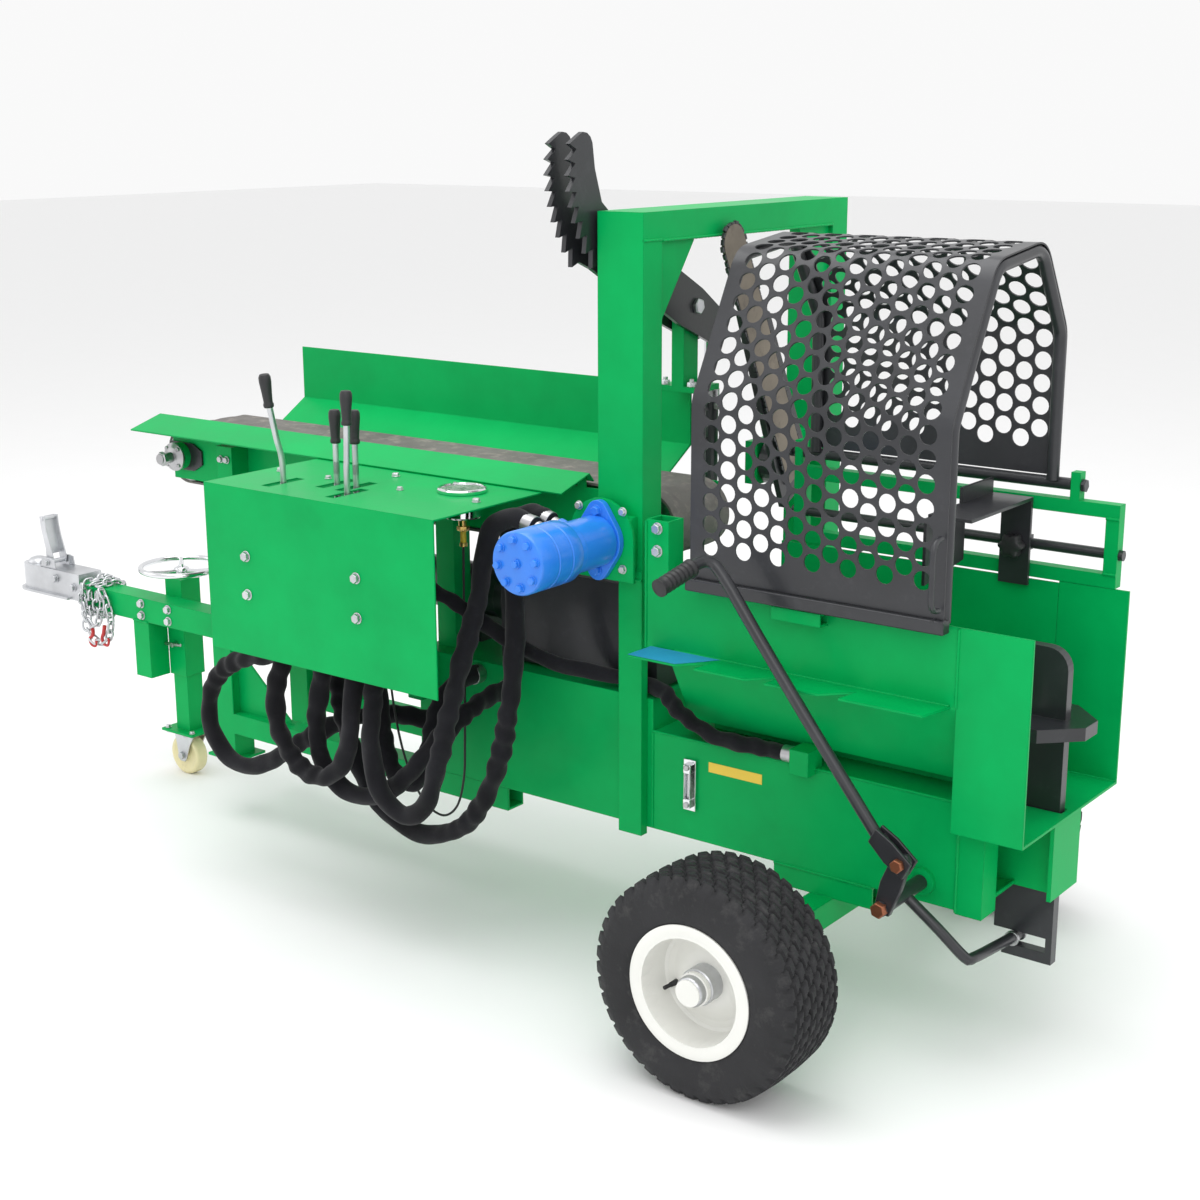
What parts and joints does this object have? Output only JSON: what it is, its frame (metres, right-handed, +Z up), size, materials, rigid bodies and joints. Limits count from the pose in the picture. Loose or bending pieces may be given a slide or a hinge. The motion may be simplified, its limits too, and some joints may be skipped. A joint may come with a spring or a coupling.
{
  "type": "log splitter",
  "caption": "Towed firewood processor: infeed conveyor, swinging chain saw, hydraulic ram and height-adjustable splitting wedge on a two-wheel chassis.",
  "frame": {"origin": "on the ground under the middle of the overall box", "axes": "+X from the tow hitch to the split-wood outlet, +Y from the operator's side to the far side, +Z up"},
  "size_m": [2.94, 1.18, 1.6069],
  "materials": {
    "green_paint": "semi-gloss",
    "black_paint": "semi-gloss",
    "blue_paint": "gloss",
    "white_paint": "semi-gloss",
    "zinc": "galvanised",
    "chrome": "polished",
    "tyre_rubber": "matte",
    "belt_rubber": "matte, dusty",
    "black_plastic": "moulded",
    "nylon": "satin",
    "sleeve_fabric": "woven"
  },
  "bodies": {
    "chassis": {"main_beam": "green_paint", "oil_tank": "green_paint", "axle": "green_paint", "front_frame": "green_paint", "split_trough": "green_paint", "lever_gate": "green_paint", "outlet_chute": "green_paint", "wedge_guide": "green_paint", "saw_portal": "green_paint", "conveyor_frame": "green_paint", "infeed_guide": "green_paint", "infeed_wall": "green_paint", "motor_plate": "green_paint", "control_cover": "green_paint", "far_frame": "green_paint", "tongue": "green_paint", "jack_tube": "green_paint", "cylinder_barrel": "black_paint", "clamp_cylinder": "black_paint", "stop_rod": "black_paint", "feed_motor": "blue_paint", "valve_bank": "blue_paint", "level_gauge": "zinc", "pressure_gauge": "zinc", "coupler": "zinc", "safety_chain": "zinc", "conveyor_belt": "belt_rubber", "hose_cylinder_base": "sleeve_fabric", "hose_cylinder_rod": "sleeve_fabric", "hose_motor_feed": "sleeve_fabric", "hose_motor_return": "sleeve_fabric", "hose_tank_return": "sleeve_fabric"},
    "wheel_near": {"tyre_near": "tyre_rubber", "rim_near": "white_paint"},
    "wheel_far": {"tyre_far": "tyre_rubber", "rim_far": "white_paint"},
    "wedge": {"wedge": "black_paint"},
    "lift_lever": {"wedge_lever": "black_paint", "lever_grip": "black_plastic"},
    "ram": {"ram": "black_paint", "cylinder_rod": "chrome"},
    "saw": {"saw_arm": "black_paint", "saw_bar": "zinc"},
    "clamp": {"clamp_arm": "black_paint"},
    "clamp_rod": {"clamp_rod": "chrome"},
    "drive_roller": {"drive_roller": "zinc"},
    "idler_roller": {"idler_roller": "zinc"},
    "log_stop": {"log_stop": "black_paint"},
    "stop_knob": {"stop_knob": "black_plastic"},
    "guard": {"guard_frame": "black_paint", "guard_sheet": "black_paint"},
    "latch": {"coupler_latch": "zinc"},
    "jack_leg": {"jack_leg": "green_paint"},
    "jack_handwheel": {"jack_handwheel": "chrome"},
    "caster_fork": {"caster_fork": "zinc"},
    "caster_wheel": {"caster_wheel": "nylon"},
    "control_lever_1": {"control_lever_1": "zinc"},
    "control_lever_2": {"control_lever_2": "zinc"},
    "control_lever_3": {"control_lever_3": "zinc"},
    "control_lever_4": {"control_lever_4": "zinc"}
  },
  "joints": [
    {"name": "wheel_near_spin", "type": "hinge", "parent": "chassis", "child": "wheel_near", "pos_m": [1.03, -0.506, 0.205], "axis": [0, 1, 0], "continuous": true},
    {"name": "wheel_far_spin", "type": "hinge", "parent": "chassis", "child": "wheel_far", "pos_m": [1.03, 0.506, 0.205], "axis": [0, 1, 0], "continuous": true},
    {"name": "ram_stroke", "type": "slide", "parent": "chassis", "child": "ram", "axis": [1, 0, 0], "range_m": [0, 0.65]},
    {"name": "wedge_lift", "type": "slide", "parent": "chassis", "child": "wedge", "axis": [0, 0, 1], "range_m": [0, 0.08]},
    {"name": "lift_lever_swing", "type": "hinge", "parent": "chassis", "child": "lift_lever", "pos_m": [1.235, -0.296, 0.312], "axis": [0, -1, 0], "range_deg": [0, 31.5]},
    {"name": "saw_swing", "type": "hinge", "parent": "chassis", "child": "saw", "pos_m": [0.6, 0.34, 0.93], "axis": [1, 0, 0], "range_deg": [0, 75]},
    {"name": "clamp_swing", "type": "hinge", "parent": "chassis", "child": "clamp", "pos_m": [0.487, 0.175, 1.262], "axis": [1, 0, 0], "range_deg": [0, 65]},
    {"name": "clamp_rod_stroke", "type": "slide", "parent": "chassis", "child": "clamp_rod", "axis": [0, 0, 1], "range_m": [0, 0.108]},
    {"name": "drive_roller_spin", "type": "hinge", "parent": "chassis", "child": "drive_roller", "pos_m": [0.55, 0, 0.852], "axis": [0, 1, 0], "continuous": true},
    {"name": "idler_roller_spin", "type": "hinge", "parent": "chassis", "child": "idler_roller", "pos_m": [-0.8, 0, 0.852], "axis": [0, 1, 0], "continuous": true},
    {"name": "log_stop_slide", "type": "slide", "parent": "chassis", "child": "log_stop", "axis": [1, 0, 0], "range_m": [-0.35, 0.12]},
    {"name": "stop_knob_turn", "type": "hinge", "parent": "log_stop", "child": "stop_knob", "pos_m": [1.225, 0.17, 0.865], "axis": [0, 1, 0], "range_deg": [0, 360]},
    {"name": "guard_hinge", "type": "hinge", "parent": "chassis", "child": "guard", "pos_m": [1.03, 0.207, 0.985], "axis": [-1, 0, 0], "range_deg": [0, 95]},
    {"name": "latch_hinge", "type": "hinge", "parent": "chassis", "child": "latch", "pos_m": [-1.342, -0.045, 0.514], "axis": [0, 1, 0], "range_deg": [0, 80]},
    {"name": "jack_stroke", "type": "slide", "parent": "chassis", "child": "jack_leg", "axis": [0, 0, -1], "range_m": [0, 0.12]},
    {"name": "jack_handwheel_turn", "type": "hinge", "parent": "chassis", "child": "jack_handwheel", "pos_m": [-0.923, 0.0153, 0.54], "axis": [0, 0, 1], "range_deg": [0, 4325]},
    {"name": "caster_swivel", "type": "hinge", "parent": "jack_leg", "child": "caster_fork", "pos_m": [-0.923, 0.0153, 0.115], "axis": [0, 0, 1], "continuous": true},
    {"name": "caster_roll", "type": "hinge", "parent": "caster_fork", "child": "caster_wheel", "pos_m": [-0.935, 0.0153, 0.052], "axis": [0, 1, 0], "continuous": true},
    {"name": "control_lever_1_tilt", "type": "hinge", "parent": "chassis", "child": "control_lever_1", "pos_m": [-0.119, -0.38, 0.815], "axis": [1, 0, 0], "range_deg": [-18, 18], "stiffness_Nm_per_rad": 6},
    {"name": "control_lever_2_tilt", "type": "hinge", "parent": "chassis", "child": "control_lever_2", "pos_m": [0.068, -0.385, 0.815], "axis": [1, 0, 0], "range_deg": [-18, 18], "stiffness_Nm_per_rad": 6},
    {"name": "control_lever_3_tilt", "type": "hinge", "parent": "chassis", "child": "control_lever_3", "pos_m": [-0.02, -0.325, 0.815], "axis": [1, 0, 0], "range_deg": [-18, 18], "stiffness_Nm_per_rad": 6},
    {"name": "control_lever_4_tilt", "type": "hinge", "parent": "chassis", "child": "control_lever_4", "pos_m": [0.034, -0.325, 0.815], "axis": [1, 0, 0], "range_deg": [-18, 18], "stiffness_Nm_per_rad": 6}
  ],
  "couplings": [
    {"joint": "lift_lever_swing", "follows": "wedge_lift", "rad_per_m": 6.85},
    {"joint": "clamp_rod_stroke", "follows": "clamp_swing", "m_per_rad": 0.0942},
    {"joint": "idler_roller_spin", "follows": "drive_roller_spin", "ratio": 1},
    {"joint": "jack_handwheel_turn", "follows": "jack_stroke", "rad_per_m": 628.3}
  ]
}
